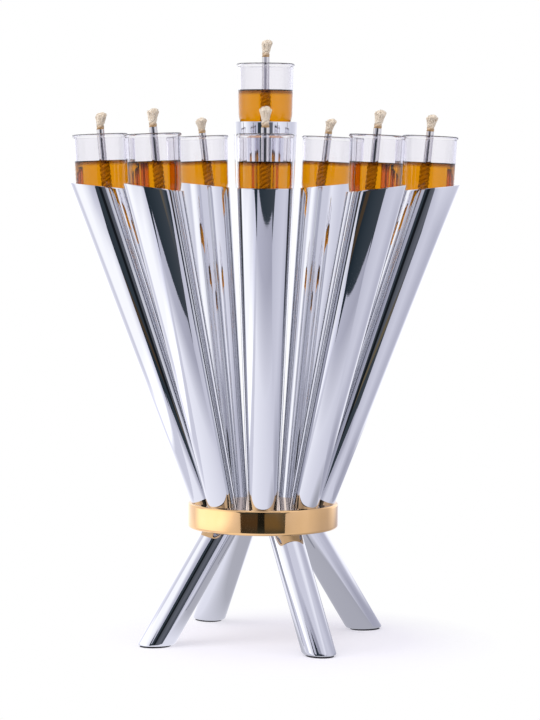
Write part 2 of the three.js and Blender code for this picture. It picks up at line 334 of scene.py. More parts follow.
def gold_material():
    material, tree, output = new_material("polished_gold_plate")
    place = add_node(tree, "ShaderNodeTexCoord")
    clouds = add_node(
        tree, "ShaderNodeTexNoise",
        inputs={"Scale": 1 / (18 * MM), "Detail": 3.0},
        links={"Vector": place.outputs["Object"]},
    )
    shine = add_node(
        tree, "ShaderNodeMapRange",
        inputs={"From Min": 0.3, "From Max": 0.7, "To Min": 0.035, "To Max": 0.085},
        links={"Value": clouds.outputs["Fac"]},
    )
    tone = add_node(tree, "ShaderNodeValToRGB", links={"Fac": clouds.outputs["Fac"]})
    colour_stops(tone, [(0.3, linear("E0B67E")), (0.7, linear("E8BF8B"))])
    metal = add_node(
        tree, "ShaderNodeBsdfPrincipled",
        inputs={"Metallic": 1.0},
        links={"Base Color": tone.outputs["Color"], "Roughness": shine.outputs["Result"]},
    )
    tree.links.new(metal.outputs["BSDF"], output.inputs["Surface"])
    return material


hub_gold = gold_material()

# %% [markdown]
# ## Clear glass and lamp oil
# The cups are clear soda-lime glass with an IOR of 1.5. Olive oil is amber and bends light almost as much, so oil
# that meets glass hardly shows the wall between them: the oil reaches a little into the wall, as the eye sees it.
# A shadow ray can't bend, so both let it pass straight through with their tint. Otherwise the cord inside would
# lie in the dark. The glass is painted greyer where it is seen edge on, a painted shade at its edges. The oil is
# painted browner in a thin band under its surface, marked by a vertex attribute: a painted shade for the dark line
# round the surface. The oil mirrors little, because glass covers its sides.

# %% Glass and oil


def clear_material(name, tint, painted_shade_tint, shadow_tint, ior, mirror_tint, tint_source="edge"):
    """A clear body. Its tint turns to the painted shade tint at a grazing look, or where a named attribute is 1.
    """
    material, tree, output = new_material(name)
    place = add_node(tree, "ShaderNodeTexCoord")
    ripple = add_node(
        tree, "ShaderNodeTexNoise",
        inputs={"Scale": 1 / (9 * MM), "Detail": 1.0},
        links={"Vector": place.outputs["Object"]},
    )
    bump = add_node(
        tree, "ShaderNodeBump",
        inputs={"Strength": 0.03, "Distance": 0.0003},
        links={"Height": ripple.outputs["Fac"]},
    )
    if tint_source == "edge":
        share = add_node(tree, "ShaderNodeLayerWeight", inputs={"Blend": 0.18}).outputs["Facing"]
    else:
        share = add_node(tree, "ShaderNodeAttribute", {"attribute_name": tint_source}).outputs["Fac"]
    colour = add_node(
        tree, "ShaderNodeMix", {"data_type": "RGBA"},
        inputs={"A": linear(tint), "B": linear(painted_shade_tint)}, links={"Factor": share},
    )
    body = add_node(
        tree, "ShaderNodeBsdfPrincipled",
        inputs={
            "Roughness": 0.0,
            "IOR": ior,
            "Specular Tint": linear(mirror_tint),
            "Transmission Weight": 1.0,
        },
        links={"Base Color": colour.outputs["Result"], "Normal": bump.outputs["Normal"]},
    )
    passing = add_node(tree, "ShaderNodeBsdfTransparent", inputs={"Color": linear(shadow_tint)})
    path = add_node(tree, "ShaderNodeLightPath")
    mixed = add_node(
        tree, "ShaderNodeMixShader",
        links={
            "Fac": path.outputs["Is Shadow Ray"],
            1: body.outputs["BSDF"],
            2: passing.outputs["BSDF"],
        },
    )
    tree.links.new(mixed.outputs["Shader"], output.inputs["Surface"])
    return material


# The glass is painted grey at its edges and the oil brown under its surface: both are painted shade.
cup_glass = clear_material("clear_soda_glass", "F8F7FA", "ACACB6", "F4F4F8", 1.5, "B0B0B0")
lamp_oil = clear_material("amber_lamp_oil", "E89A0A", "8E5214", "F0B868", 1.47, "7C7C7C", "painted_surface_shade")

# %% [markdown]
# ## Cotton cord and rubber pads
# The wick is a cord of soft spun cotton, cream where it is dry and brown where the oil has soaked in; in the oil
# it is painted paler, as painted light. Cotton is matt and a little fuzzy, which sheen gives. The foot pads are
# dark rubber with a fine moulded grain.

# %% Cotton and rubber
FIBRE_MM = 0.35


def cotton_material():
    material, tree, output = new_material("spun_cotton_cord")
    place = add_node(tree, "ShaderNodeTexCoord")
    fibres = add_node(
        tree, "ShaderNodeTexNoise",
        inputs={"Scale": 1 / (FIBRE_MM * MM), "Detail": 4.0, "Roughness": 0.6},
        links={"Vector": place.outputs["Object"]},
    )
    dry = add_node(tree, "ShaderNodeValToRGB", links={"Fac": fibres.outputs["Fac"]})
    colour_stops(dry, [(0.3, linear("D2C0A8")), (0.55, linear("E6DAC8")), (0.8, linear("F4ECE0"))])
    # The oil's brown mixes in by the attribute, which is lower in the oil as painted light.
    soak_and_light = add_node(tree, "ShaderNodeAttribute", {"attribute_name": "soak_and_light"})
    tone = add_node(
        tree, "ShaderNodeMix", {"data_type": "RGBA"}, inputs={"B": linear("B08B5C")},
        links={"Factor": soak_and_light.outputs["Fac"], "A": dry.outputs["Color"]},
    )
    bump = add_node(
        tree, "ShaderNodeBump",
        inputs={"Strength": 0.5, "Distance": 0.00015},
        links={"Height": fibres.outputs["Fac"]},
    )
    cloth = add_node(
        tree, "ShaderNodeBsdfPrincipled",
        inputs={"Roughness": 0.92, "Sheen Weight": 0.3, "Sheen Roughness": 0.5},
        links={"Base Color": tone.outputs["Result"], "Normal": bump.outputs["Normal"]},
    )
    tree.links.new(cloth.outputs["BSDF"], output.inputs["Surface"])
    return material


def rubber_material():
    material, tree, output = new_material("moulded_dark_rubber")
    place = add_node(tree, "ShaderNodeTexCoord")
    grain = add_node(
        tree, "ShaderNodeTexNoise",
        inputs={"Scale": 1 / (0.8 * MM), "Detail": 3.0},
        links={"Vector": place.outputs["Object"]},
    )
    tone = add_node(tree, "ShaderNodeValToRGB", links={"Fac": grain.outputs["Fac"]})
    colour_stops(tone, [(0.3, linear("141416")), (0.7, linear("232327"))])
    bump = add_node(
        tree, "ShaderNodeBump",
        inputs={"Strength": 0.3, "Distance": 0.0002},
        links={"Height": grain.outputs["Fac"]},
    )
    pad = add_node(
        tree, "ShaderNodeBsdfPrincipled",
        inputs={"Roughness": 0.75},
        links={"Base Color": tone.outputs["Color"], "Normal": bump.outputs["Normal"]},
    )
    tree.links.new(pad.outputs["BSDF"], output.inputs["Surface"])
    return material


wick_cotton = cotton_material()
pad_rubber = rubber_material()

# %% [markdown]
# ## Turning and placing
# Nearly everything here is round, so most pieces are spun: a few vertices draw half the outline, and spin sweeps
# it once round the axis. A full spin needs use_merge to close its seam. The normals are recalculated after
# doubles on the axis are merged, because a spin can turn a shape inside out.

# %% Turning helpers
ROUND_STEPS = 96


def placed(foot, axis):
    """The matrix that sets an upright shape on a foot point along an axis, from millimetres to metres."""
    turn = UP.rotation_difference(axis).to_matrix().to_4x4()
    return Matrix.Translation(foot * MM) @ turn @ Matrix.Scale(MM, 4)


def spun(profile, steps=ROUND_STEPS, closed=False):
    """A bmesh turned round Z from (radius, height) points, in millimetres."""
    mesh = bmesh.new()
    corners = [mesh.verts.new((radius, 0, height)) for radius, height in profile]
    pairs = list(zip(corners, corners[1:]))
    if closed:
        pairs.append((corners[-1], corners[0]))
    edges = [mesh.edges.new(pair) for pair in pairs]
    bmesh.ops.spin(
        mesh, geom=corners + edges, cent=(0, 0, 0), axis=(0, 0, 1),
        angle=math.tau, steps=steps, use_merge=True, use_duplicate=False,
    )
    bmesh.ops.remove_doubles(mesh, verts=mesh.verts, dist=0.0005)
    bmesh.ops.recalc_face_normals(mesh, faces=mesh.faces)
    return mesh


def arc(centre, radii, start, end, steps):
    """Points on an arc of an ellipse in a profile, from one angle to another in degrees."""
    points = []
    for step in range(steps + 1):
        turn = math.radians(start + (end - start) * step / steps)
        points.append((centre[0] + radii[0] * math.cos(turn), centre[1] + radii[1] * math.sin(turn)))
    return points


def finish_piece(mesh, name, material, body, nodes=(), sharp=35.0):
    """Turns a bmesh into a named, smooth-shaded piece that rides on a body and stands for its CAD nodes."""
    data = bpy.data.meshes.new(name)
    mesh.to_mesh(data)
    mesh.free()
    data.shade_smooth()
    data.set_sharp_from_angle(angle=math.radians(sharp))
    piece = bpy.data.objects.new(name, data)
    scene.collection.objects.link(piece)
    data.materials.append(material)
    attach(piece, body)
    if nodes:
        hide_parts(*nodes)
    return piece


def cut(mesh, point, normal, geometry=None, clear=True):
    """Cuts away what lies on the side that the normal points to, leaving the edge open."""
    bmesh.ops.bisect_plane(
        mesh, geom=geometry or list(mesh.verts) + list(mesh.edges) + list(mesh.faces),
        plane_co=point, plane_no=normal, clear_outer=clear, clear_inner=False, dist=1e-7,
    )


# %% [markdown]
# ## The gold disc
# The disc is a thick turned plate. Its outline is spun, with a small rounded edge top and bottom that catches a
# bright line of light. A loop on each side of the rounding keeps the flat and straight faces true, so that
# their reflections stay straight. Shallow round mouths in the underside show the screw heads: they are cut with
# a Boolean, which is simpler than weaving circles into the flat face by hand.

# %% Gold disc
edge_low = arc((HUB_RADIUS - HUB_EDGE, HUB_UNDERSIDE + HUB_EDGE), (HUB_EDGE, HUB_EDGE), -90, 0, 6)
edge_high = arc((HUB_RADIUS - HUB_EDGE, HUB_TOP - HUB_EDGE), (HUB_EDGE, HUB_EDGE), 0, 90, 6)
flat_low = [(0, HUB_UNDERSIDE), (HUB_RADIUS - HUB_EDGE - HUB_SUPPORT, HUB_UNDERSIDE)]
side_loops = [
    (HUB_RADIUS, HUB_UNDERSIDE + HUB_EDGE + HUB_SUPPORT), (HUB_RADIUS, HUB_TOP - HUB_EDGE - HUB_SUPPORT)
]
flat_high = [(HUB_RADIUS - HUB_EDGE - HUB_SUPPORT, HUB_TOP), (0, HUB_TOP)]
hub_mesh = spun(flat_low + edge_low + side_loops + edge_high + flat_high, steps=128)
bmesh.ops.transform(hub_mesh, matrix=Matrix.Scale(MM, 4), verts=hub_mesh.verts)

mouth_mesh = bmesh.new()
for light in lights:
    bmesh.ops.create_cone(
        mouth_mesh, cap_ends=True, segments=32,
        radius1=SCREW_MOUTH_RADIUS * MM, radius2=SCREW_MOUTH_RADIUS * MM, depth=1.8 * MM,
        matrix=Matrix.Translation((light["screw"] + Vector((0, 0, HUB_UNDERSIDE))) * MM),
    )
mouth_data = bpy.data.meshes.new("screw_mouths")
mouth_mesh.to_mesh(mouth_data)
mouth_mesh.free()
mouths = bpy.data.objects.new("screw_mouths", mouth_data)
scene.collection.objects.link(mouths)

hub = finish_piece(hub_mesh, "gold_disc", hub_gold, "stand", ["hub_disc"], sharp=40.0)
boolean = hub.modifiers.new("screw_mouths", "BOOLEAN")
boolean.operation = "DIFFERENCE"
boolean.object = mouths
bpy.context.view_layer.update()
cut_hub = bpy.data.meshes.new_from_object(hub.evaluated_get(bpy.context.evaluated_depsgraph_get()))
hub.modifiers.clear()
hub.data = cut_hub
hub.data.set_sharp_from_angle(angle=math.radians(40))
bpy.data.objects.remove(mouths)
print("disc faces:", len(hub.data.polygons))

# %% [markdown]
# ## The tubes
# Each tube is a thin tapering wall, cut level where it stands on the disc and nearly level at its open rim. Two
# cones without caps, one for the outside and one for the bore, are cut by planes and joined across the rim by
# bridge_loops. The wall is real geometry rather than a Solidify modifier: its rim then keeps hard edges, and a
# long mirror face shows a bent reflection as soon as the normals at its ends are averaged. The seat that
# carries the cup is a thin plate across the tube with a vent hole.

# %% Tubes


def on_plane(edge, point, normal):
    """Whether both ends of an edge lie on a plane."""
    return all(abs((corner.co - point).dot(normal)) < 2e-6 for corner in edge.verts)


def add_cone_side(mesh, light, inset, floor_height):
    """One side of a tube's wall, closed by a level floor and open above the rim."""
    length = (light["rim"] - light["foot"]).length
    reach = light["rim_radius"]
    widening = (light["rim_radius"] - light["foot_radius"]) / length
    ring = bmesh.ops.create_cone(
        mesh, cap_ends=False, segments=ROUND_STEPS,
        radius1=light["foot_radius"] - widening * reach - inset,
        radius2=light["rim_radius"] + widening * reach - inset,
        depth=length + 2 * reach,
        matrix=Matrix.Translation((0, 0, length / 2)),
    )["verts"]
    bmesh.ops.transform(mesh, matrix=placed(light["foot"], light["axis"]), verts=ring)
    own = {item for corner in ring for item in (corner, *corner.link_edges, *corner.link_faces)}
    floor_point = Vector((0, 0, floor_height * MM))
    cut(mesh, floor_point, -UP, list(own))
    hole = [edge for edge in mesh.edges if edge.is_boundary and on_plane(edge, floor_point, UP)]
    bmesh.ops.holes_fill(mesh, edges=hole, sides=0)


def tube_mesh(light):
    mesh = bmesh.new()
    add_cone_side(mesh, light, 0, HUB_TOP)
    add_cone_side(mesh, light, TUBE_WALL, HUB_TOP + TUBE_PLUG)
    rim = light["rim"] * MM
    cut(mesh, rim, light["rim_up"])
    cut(mesh, rim - light["rim_up"] * RIM_SUPPORT * MM, light["rim_up"], clear=False)
    bmesh.ops.bridge_loops(mesh, edges=[edge for edge in mesh.edges if edge.is_boundary])
    bmesh.ops.recalc_face_normals(mesh, faces=mesh.faces)
    lips = [
        edge for edge in mesh.edges
        if on_plane(edge, rim, light["rim_up"]) and edge.calc_face_angle(0) > 0.8
    ]
    bmesh.ops.bevel(
        mesh, geom=lips, offset=RIM_BEVEL * MM, offset_type="OFFSET", segments=2, profile=0.5,
        affect="EDGES", clamp_overlap=True, material=-1,
    )
    return mesh


def seat_mesh(light):
    depth = (light["rim"] - light["cup_foot"]).length + SEAT_DROP
    drop = depth / light["cup_axis"].dot(light["axis"])
    length = (light["rim"] - light["foot"]).length
    share = (length - drop) / length
    radius = light["foot_radius"] + (light["rim_radius"] - light["foot_radius"]) * share - TUBE_WALL
    centre = light["foot"] + light["axis"] * (length - drop)
    mesh = spun([(2.5, 0), (radius - 0.3, 0), (radius - 0.3, -1.5), (2.5, -1.5)], steps=64, closed=True)
    bmesh.ops.transform(mesh, matrix=placed(centre, light["cup_axis"]), verts=mesh.verts)
    return mesh


for light in lights:
    finish_piece(
        tube_mesh(light), f"{light['tube']}_wall", tube_chrome, "stand", [light["tube"]], 25.0
    )
    finish_piece(seat_mesh(light), f"{light['tube']}_seat", tube_chrome, "stand")
print("tubes:", len(lights))

# %% [markdown]
# ## The legs
# A leg is a straight round bar, cut level under the disc and at its pad. The cuts leave an oval at each end,
# which is filled, and the lower edge gets a small bevel so that it shines as a filed edge does. A loop just
# above that bevel keeps its rounded normals from bending the reflections along the whole bar.

# %% Legs
for quarter in range(4):
    azimuth = LEG_TURN + 90 * quarter
    top = polar(LEG_TOP_CIRCLE, azimuth, HUB_UNDERSIDE)
    foot = polar(LEG_FOOT_CIRCLE, azimuth, 0)
    length = (top - foot).length
    leg = bmesh.new()
    bmesh.ops.create_cone(
        leg, cap_ends=False, segments=64, radius1=LEG_RADIUS, radius2=LEG_RADIUS,
        depth=length + 4 * LEG_RADIUS, matrix=Matrix.Translation((0, 0, length / 2)),
    )
    bmesh.ops.transform(leg, matrix=placed(foot, (top - foot).normalized()), verts=leg.verts)
    cut(leg, Vector((0, 0, PAD_THICKNESS * MM)), -UP)
    cut(leg, Vector((0, 0, HUB_UNDERSIDE * MM)), UP)
    cut(leg, Vector((0, 0, (PAD_THICKNESS + LEG_SUPPORT) * MM)), UP, clear=False)
    bmesh.ops.holes_fill(leg, edges=[edge for edge in leg.edges if edge.is_boundary], sides=0)
    bmesh.ops.recalc_face_normals(leg, faces=leg.faces)
    low_edge = [
        edge for edge in leg.edges
        if all(abs(corner.co.z - PAD_THICKNESS * MM) < 1e-6 for corner in edge.verts)
    ]
    bmesh.ops.bevel(
        leg, geom=low_edge, offset=1.0 * MM, offset_type="OFFSET", segments=4, profile=0.5,
        affect="EDGES", clamp_overlap=True, material=-1,
    )
    finish_piece(leg, f"leg_bar_{quarter + 1}", tube_chrome, "stand", [f"leg_{quarter + 1}"], 28.0)
print("legs: 4")

# %% [markdown]
# ## The glass cups and the oil
# A cup is blown or pressed glass with a straight wall, a round heel and a bead at the lip. The oil fills it to a
# little over half. At the wall the oil climbs a hair, and that rim shows as the dark line round the surface, made
# darker by a band of painted shade under the surface.

# %% Cups and oil
OIL_OVERLAP = 0.95
MENISCUS = 0.7
# BAND_DEPTH and BAND_FADE bound the band of painted shade under the oil's surface.
BAND_DEPTH = 0.5
BAND_FADE = 2.0


def cup_outline(share):
    heel_start = CUP_FOOT_RADIUS - CUP_HEEL_WIDTH
    inner_start = heel_start - CUP_WALL / 2
    inner_width = CUP_FOOT_RADIUS - CUP_WALL - inner_start
    lip_foot = CUP_HEIGHT - CUP_LIP_HEIGHT
    half_lip = CUP_LIP_HEIGHT / 2
    outline = [(0, 0)]
    outline += arc((heel_start, CUP_HEEL_HEIGHT), (CUP_HEEL_WIDTH, CUP_HEEL_HEIGHT), -90, 0, 14)
    outline += [(CUP_FOOT_RADIUS + 0.01, CUP_HEEL_HEIGHT + 0.7)]
    outline += [(CUP_TOP_RADIUS - 0.01, lip_foot - 0.5), (CUP_TOP_RADIUS, lip_foot)]
    outline += arc(
        (CUP_LIP_RADIUS - half_lip, CUP_HEIGHT - half_lip), (half_lip, half_lip), -45, 150, 10
    )
    inner_top = CUP_TOP_RADIUS - CUP_WALL
    outline += [(inner_top, lip_foot), (inner_top - 0.01, lip_foot - 0.6)]
    outline += [(CUP_FOOT_RADIUS - CUP_WALL + 0.01, CUP_HEEL_HEIGHT + 0.7)]
    inner_height = CUP_HEEL_HEIGHT - CUP_FLOOR
    outline += arc((inner_start, CUP_HEEL_HEIGHT), (inner_width, inner_height), 0, -90, 12)
    outline += [(0, CUP_FLOOR)]
    return [(radius * share, height) for radius, height in outline]


def oil_outline(share):
    heel_start = CUP_FOOT_RADIUS - CUP_HEEL_WIDTH
    inner_start = heel_start - CUP_WALL / 2
    inner_width = CUP_FOOT_RADIUS - CUP_WALL - inner_start
    wall = CUP_FOOT_RADIUS - CUP_WALL + OIL_OVERLAP + 0.15
    inner_height = CUP_HEEL_HEIGHT - CUP_FLOOR + OIL_OVERLAP
    outline = [(0, CUP_FLOOR - OIL_OVERLAP)]
    outline += arc((inner_start, CUP_HEEL_HEIGHT), (inner_width + OIL_OVERLAP, inner_height), -90, 0, 12)
    outline += [(wall, OIL_HEIGHT - BAND_FADE), (wall, OIL_HEIGHT - BAND_DEPTH), (wall, OIL_HEIGHT + MENISCUS)]
    outline += [
        (wall - OIL_OVERLAP - 0.25, OIL_HEIGHT + MENISCUS * 0.55),
        (wall - OIL_OVERLAP - 0.7, OIL_HEIGHT + MENISCUS * 0.12),
        (wall - OIL_OVERLAP - 1.3, OIL_HEIGHT),
        (0, OIL_HEIGHT),
    ]
    return [(radius * share, height) for radius, height in outline]


for light in lights:
    body = f"{light['label']}_cup_body"
    cup = spun(cup_outline(light["cup_share"]))
    bmesh.ops.transform(cup, matrix=placed(light["cup_foot"], light["cup_axis"]), verts=cup.verts)
    finish_piece(cup, f"{light['cup']}_glass", cup_glass, body, [light["cup"]], 60.0)
    oil = spun(oil_outline(light["cup_share"]))
    # Vertices near the wall at the surface carry the band of painted shade.
    line = oil.verts.layers.float.new("painted_surface_shade")
    for corner in oil.verts:
        near = corner.co.z > OIL_HEIGHT - BAND_DEPTH - 0.01 and corner.co.xy.length > 5
        corner[line] = 1.0 if near else 0.0
    bmesh.ops.transform(oil, matrix=placed(light["cup_foot"], light["cup_axis"]), verts=oil.verts)
    finish_piece(oil, f"{light['cup']}_oil", lamp_oil, body, (), 50.0)
print("cups and oil:", len(lights))

# %% [markdown]
# ## The wick tubes and cords
# The wick tube is a short drawn metal tube. The cord is three strands laid round each other: a small circle is
# spun round the axis while it climbs, which makes a helix. Above the tube the cord is as wide as the tube and ends
# in a soft lumpy tuft, a little to one side: a few clumps, and many thin fibres that bend out and over them. A
# vertex attribute tells the cotton how brown the oil has turned it: most at the tube's mouth. In the oil the cord
# gets less of that brown, painted light that stands for the light reaching it through the amber oil.

# %% Wick tubes and cords
STRANDS = 3
LAY_MM = 7.0
STRAND_RADIUS = 1.0
STRAND_ORBIT = 0.98
# The cord in the oil gets only this share of the soaked brown: painted light, paler so that it reads as lit
# through the amber oil.
SOAK_AND_LIGHT_IN_OIL = 0.3
FIBRES = 84
FIBRE_STEPS = 6
TUFT_RADIUS = 3.15
TUFT_SHIFTS = {
    "arm_1": 0.3, "arm_2": 1.1, "arm_3": 0.7, "arm_4": 1.4, "arm_5": 0.8, "arm_6": 0.2, "arm_7": 1.5, "arm_8": 1.0,
    "shamash": 1.0,
}
random.seed(9)


def wick_tube_outline(light):
    inner = WICK_TUBE_RADIUS - WICK_TUBE_WALL
    top = light["wick_top"]
    return [
        (inner, OIL_HEIGHT), (WICK_TUBE_RADIUS, OIL_HEIGHT),
        (WICK_TUBE_RADIUS, top - 0.12), (WICK_TUBE_RADIUS - 0.12, top), (inner, top),
    ]


def add_strand(mesh, low, high, orbit, radius, start_turn, steps_per_turn=26, sides=10):
    """One strand: a circle that climbs from low to high as it turns round the axis."""
    turns = (high - low) / LAY_MM
    steps = max(4, round(turns * steps_per_turn))
    slope = math.atan2(LAY_MM, math.tau * orbit)
    seat = (
        Matrix.Rotation(start_turn, 4, "Z")
        @ Matrix.Translation((orbit, 0, low))
        @ Matrix.Rotation(slope - math.pi / 2, 4, "X")
    )
    ring = bmesh.ops.create_circle(mesh, cap_ends=True, segments=sides, radius=radius, matrix=seat)["verts"]
    faces = list({face for corner in ring for face in corner.link_faces})
    edges = list({edge for corner in ring for edge in corner.link_edges})
    bmesh.ops.spin(
        mesh, geom=ring + edges + faces, cent=(0, 0, 0), axis=(0, 0, 1),
        dvec=(0, 0, (high - low) / steps), angle=turns * math.tau, steps=steps,
        use_merge=False, use_duplicate=False,
    )


def add_clump(mesh, centre, radius):
    """A soft clump: a ball pushed out of round by noise."""
    ball = bmesh.ops.create_icosphere(
        mesh, subdivisions=3, radius=radius, matrix=Matrix.Translation(centre)
    )["verts"]
    for corner in ball:
        away = corner.co - centre
        corner.co = centre + away * (1.0 + 0.22 * noise.noise(corner.co * 1.7))


def add_fibre(mesh, start, bend, tip, radius):
    """A thin fibre along a curve from its start past a bend to its tip, pushed out in steps."""
    ring = bmesh.ops.create_circle(
        mesh, cap_ends=True, segments=4, radius=radius, matrix=Matrix.Translation(start)
    )["verts"]
    face = ring[0].link_faces[0]
    before = start
    for step in range(1, FIBRE_STEPS + 1):
        share = step / FIBRE_STEPS
        here = start * (1 - share) ** 2 + bend * 2 * share * (1 - share) + tip * share ** 2
        face = bmesh.ops.extrude_discrete_faces(mesh, faces=[face])["faces"][0]
        waver = Vector((random.uniform(-0.07, 0.07), random.uniform(-0.07, 0.07), 0))
        bmesh.ops.translate(mesh, verts=list(face.verts), vec=here - before + waver)
        before = here
    centre = face.calc_center_median()
    bmesh.ops.scale(
        mesh, vec=(0.4, 0.4, 0.4), space=Matrix.Translation(-centre), verts=list(face.verts)
    )


def cord_mesh(light):
    mesh = bmesh.new()
    low = CUP_FLOOR + 0.4
    tube_top = light["wick_top"]
    head = light["head"]
    neck = tube_top + head * 0.5
    crown = tube_top + head
    middle = Vector((0, 0, tube_top + head * 0.78))
    dome = crown - middle.z
    for strand in range(STRANDS):
        turn = math.tau * strand / STRANDS
        add_strand(mesh, low, OIL_HEIGHT - 0.4, STRAND_ORBIT, STRAND_RADIUS, turn)
        add_strand(mesh, tube_top - 1.5, neck + 1.6, STRAND_ORBIT, STRAND_RADIUS * 1.12, turn)
    add_clump(mesh, middle + Vector((0, 0, -0.14 * head)), TUFT_RADIUS * 0.62)
    for clump in range(6):
        turn = math.tau * (clump + random.uniform(-0.25, 0.25)) / 6
        aside = Vector((math.cos(turn), math.sin(turn), 0)) * TUFT_RADIUS * random.uniform(0.46, 0.58)
        lift = dome * random.uniform(-0.35, 0.3)
        add_clump(mesh, middle + aside + Vector((0, 0, lift)), TUFT_RADIUS * random.uniform(0.34, 0.44))
    add_clump(mesh, middle + Vector((0.4, 0, dome * 0.25)), TUFT_RADIUS * 0.5)
    for fibre in range(FIBRES):
        turn = math.tau * fibre * 0.381966
        out = Vector((math.cos(turn), math.sin(turn), 0))
        fall = math.radians(random.uniform(4, 88))
        tip = middle + out * TUFT_RADIUS * random.uniform(0.86, 1.08) * math.sin(fall)
        tip += Vector((0, 0, dome * random.uniform(0.85, 1.06) * math.cos(fall)))
        bend = middle + out * TUFT_RADIUS * (0.3 + 0.45 * math.sin(fall)) - Vector((0, 0, 0.16 * head))
        start = Vector((0, 0, neck - 1.6)) + out * random.uniform(1.3, 1.95)
        add_fibre(mesh, start, bend, tip, random.uniform(0.22, 0.4))
    shift = TUFT_SHIFTS[light["label"]]
    soak_and_light = mesh.verts.layers.float.new("soak_and_light")
    for corner in mesh.verts:
        above = corner.co.z - tube_top
        corner[soak_and_light] = min(1.0, max(0.0, 1.0 - (above - 0.3) / 2.6)) if above > -2 else SOAK_AND_LIGHT_IN_OIL
        corner.co.x += shift * max(0.0, above / head) ** 1.5
    bmesh.ops.recalc_face_normals(mesh, faces=mesh.faces)
    return mesh


for light in lights:
    body = f"{light['label']}_wick_body"
    sleeve = spun(wick_tube_outline(light), steps=40, closed=True)
    matrix = placed(light["wick_foot"], light["wick_axis"])
    bmesh.ops.transform(sleeve, matrix=matrix, verts=sleeve.verts)
    finish_piece(
        sleeve, f"{light['wick_tube']}_sleeve", wick_chrome, body, [light["wick_tube"]]
    )
    cord = cord_mesh(light)
    bmesh.ops.transform(cord, matrix=matrix, verts=cord.verts)
    finish_piece(cord, f"{light['cord']}_strands", wick_cotton, body, [light["cord"]], 60.0)
print("wicks:", len(lights))

# %% [markdown]
# ## Carried-over solids
# The foot pads, screws and studs keep their CAD shapes. They only need their finishes.

# %% Finishes of the carried-over solids
for name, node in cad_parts.items():
    if node.hide_render:
        continue
    finish = pad_rubber if name.startswith("foot_pad") else fastener_steel
    node.data.materials.clear()
    node.data.materials.append(finish)

# %% [markdown]
# ## Floor, studio and lamps
# Polished metal has no look of its own: it shows the room. The room here is a small white light tent in soft lilac
# greys, brightest on the left, its light and shade painted into the colour of its cloth and paper. Its paper floor
# ends in a straight edge about 34 cm in front, and beyond the opening of its cloth walls lies the dark room where
# the camera stands. The tent is real geometry, so each tube mirrors it from its own place, but only mirrored rays
# see its cloth, which glows with that painted light. The camera, and glass, see a white backdrop and paper that
# keeps the soft shadow of the feet and fades to white round it.

# %% Sizes of the tent, in metres
TENT_HALF_WIDTH = 0.17
TENT_BACK = 0.45
TENT_HEIGHT = 0.6
FRONT_CLOTH = -0.34
OPENING_HEIGHT = 0.29
PAPER_EDGE = -0.3395
PAPER_TURN = 0.0935
PAPER_BLEND = (-0.285, -0.19)
# A painted shadow of the object darkens the tent's floor, as metal mirrors it, round a point behind and right of
# the centre.
PAINTED_SHADE_CENTRE, PAINTED_SHADE_REACH, PAINTED_SHADE_SHARE = (0.07, 0.02, 0.0), (0.083, 0.12), 0.58
WARM_REACH = 0.52
FAR_REACH = 0.62
WALL_OUTLINE = [
    (-0.29, 0.0), (-0.205, 0.14), (-0.2, 0.155), (FRONT_CLOTH, 0.185), (FRONT_CLOTH, TENT_HEIGHT),
    (TENT_BACK, TENT_HEIGHT), (TENT_BACK, 0.0),
]
TENT_GLOW = 1.61
# The left cloth glows brighter in a band at the height of the disc: painted light that the gold mirrors.
LEFT_GLOW = 1.9
LEFT_GLOW_BAND = ((0.035, 0.045), (0.07, 0.1))
FEET_CENTRE = (0.015, -0.01, 0.0)
SHADOW_REACH = 0.062
WHITE_REACH = 0.115
SHADOW_LIFT = 0.52

# %% Tones of the tent
# Six tones make all its cloth and paper, steps of one lilac grey, and seven make the room outside. The lists say
# where along a panel each tone stands: painted light and shade, as if lamps lit the cloth and paper there,
# brightest on the left, beside the object.
BRIGHT, LIGHT, HALF = "FAFAFC", "E8E8F0", "CACAD6"
DIM, LOW, SHADE = "B4B4C2", "A0A0AE", "8C8C9A"
NIGHT, DARK_SLATE, SLATE, PALE_SLATE, DUST = "15181C", "1E2830", "30383F", "464A50", "5E6068"
WOOD, PALE_WOOD = "44382B", "625845"
PAPER_NEAR = [(-TENT_HALF_WIDTH, LIGHT), (TENT_HALF_WIDTH, HALF)]
PAPER_FRONT = [(-TENT_HALF_WIDTH, DIM), (TENT_HALF_WIDTH, LOW)]
LEFT_CLOTH_FOOT = [(FRONT_CLOTH, DIM), (-0.2, HALF), (0.01, HALF), (0.1, LIGHT), (TENT_BACK, BRIGHT)]
LEFT_CLOTH_DISC = [(FRONT_CLOTH, DIM), (-0.2, HALF), (-0.1, BRIGHT), (0.035, BRIGHT), (0.085, HALF), (0.4, LIGHT)]
LEFT_CLOTH_LOW = [(FRONT_CLOTH, DIM), (-0.22, HALF), (-0.1, BRIGHT), (0.0, BRIGHT), (0.025, HALF), (0.35, BRIGHT)]
LEFT_CLOTH_HIGH = [(-0.22, DIM), (-0.13, HALF), (-0.04, BRIGHT), (0.0, BRIGHT), (0.025, HALF), (0.2, BRIGHT)]
RIGHT_CLOTH_FOOT = [(FRONT_CLOTH, DIM), (-0.1, HALF), (0.0, LOW), (TENT_BACK, DIM)]
RIGHT_CLOTH_LOW = [(FRONT_CLOTH, DIM), (-0.08, HALF), (0.0, DIM), (0.05, DIM), (0.12, LIGHT), (TENT_BACK, BRIGHT)]
RIGHT_CLOTH_HIGH = [(FRONT_CLOTH, HALF), (-0.14, LIGHT), (0.05, HALF), (TENT_BACK, LIGHT)]
FRONT_CLOTH_LOW = [(-TENT_HALF_WIDTH, DIM), (0.0, SHADE), (TENT_HALF_WIDTH, LOW)]
FRONT_CLOTH_HIGH = [(-TENT_HALF_WIDTH, HALF), (TENT_HALF_WIDTH, HALF)]
